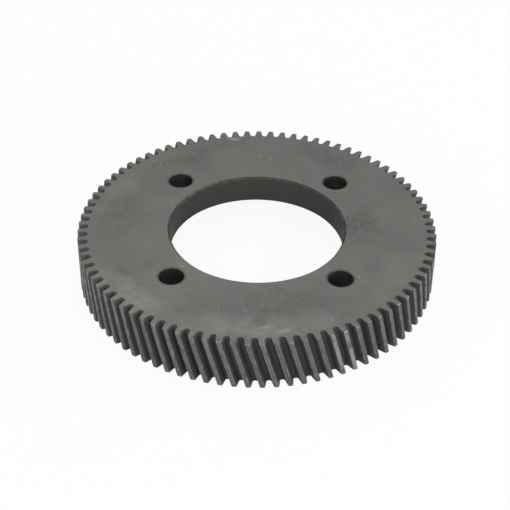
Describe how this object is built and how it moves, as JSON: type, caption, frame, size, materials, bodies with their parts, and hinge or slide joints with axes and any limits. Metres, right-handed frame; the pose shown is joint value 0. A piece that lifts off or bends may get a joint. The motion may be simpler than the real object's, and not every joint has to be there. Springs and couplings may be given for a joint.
{
  "type": "helical drive gear",
  "caption": "Flat helical gear for parallel shafts, with a toothed rim, a thinner web recessed on one side, a large plain bore and a circle of bolt holes.",
  "frame": {"origin": "on the axis of rotation, in the plane of the rim's underside, on which the gear rests", "axes": "+Z along the axis of rotation, from the recessed underside to the flush top face; the first bolt hole is 45 degrees from +X"},
  "size_m": [0.18, 0.18, 0.0265],
  "materials": {
    "black_steel": "blackened steel with a dull oiled surface, turned faces and hobbed teeth, lightly scuffed"
  },
  "bodies": {
    "root": {"drive_gear": "black_steel"}
  },
  "joints": []
}
